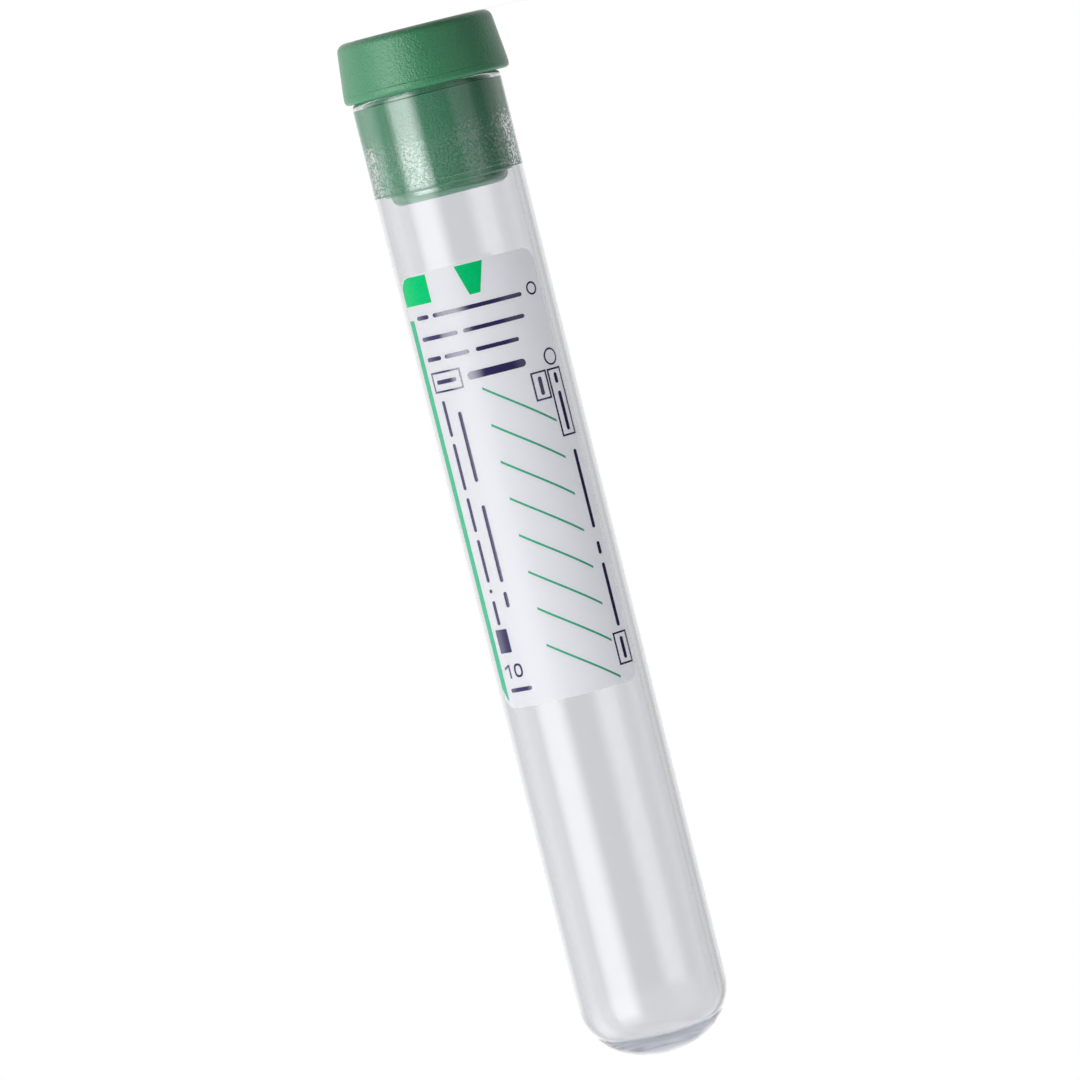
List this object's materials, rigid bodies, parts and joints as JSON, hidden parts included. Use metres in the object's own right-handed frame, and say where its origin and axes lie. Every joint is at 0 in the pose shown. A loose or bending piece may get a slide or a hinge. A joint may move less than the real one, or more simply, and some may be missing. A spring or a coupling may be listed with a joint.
{
  "type": "blood collection tube",
  "caption": "Round-bottomed glass blood collection tube with a green rubber stopper that pulls out of its mouth and a thin film label round its front.",
  "frame": {"origin": "centre of the stopper's flat top, which is the face that the tube stands on", "axes": "+Z runs along the tube from the stopper's flat top to the round end, and -Y is the side that the label faces"},
  "size_m": [0.017, 0.017, 0.1062],
  "materials": {
    "clear_glass": "clear, smooth and glossy, with a flame-polished rim",
    "green_rubber": "satin moulded rubber with a fine grain",
    "label_film": "thin greyish-white film with a soft gloss, printed in green and dark blue",
    "bright_green_ink": "bright green printing ink on the label's film, with a soft gloss",
    "pale_green_ink": "paler green printing ink on the label's film, with a soft gloss",
    "navy_ink": "dark blue printing ink on the label's film, with a soft gloss"
  },
  "bodies": {
    "stopper": {"stopper": "green_rubber"},
    "tube": {"glass_tube": "clear_glass", "label": "label_film"}
  },
  "joints": [
    {"name": "stopper_pull", "type": "slide", "parent": "stopper", "child": "tube", "axis": [0, 0, 1], "range_m": [0, 0.03]}
  ]
}
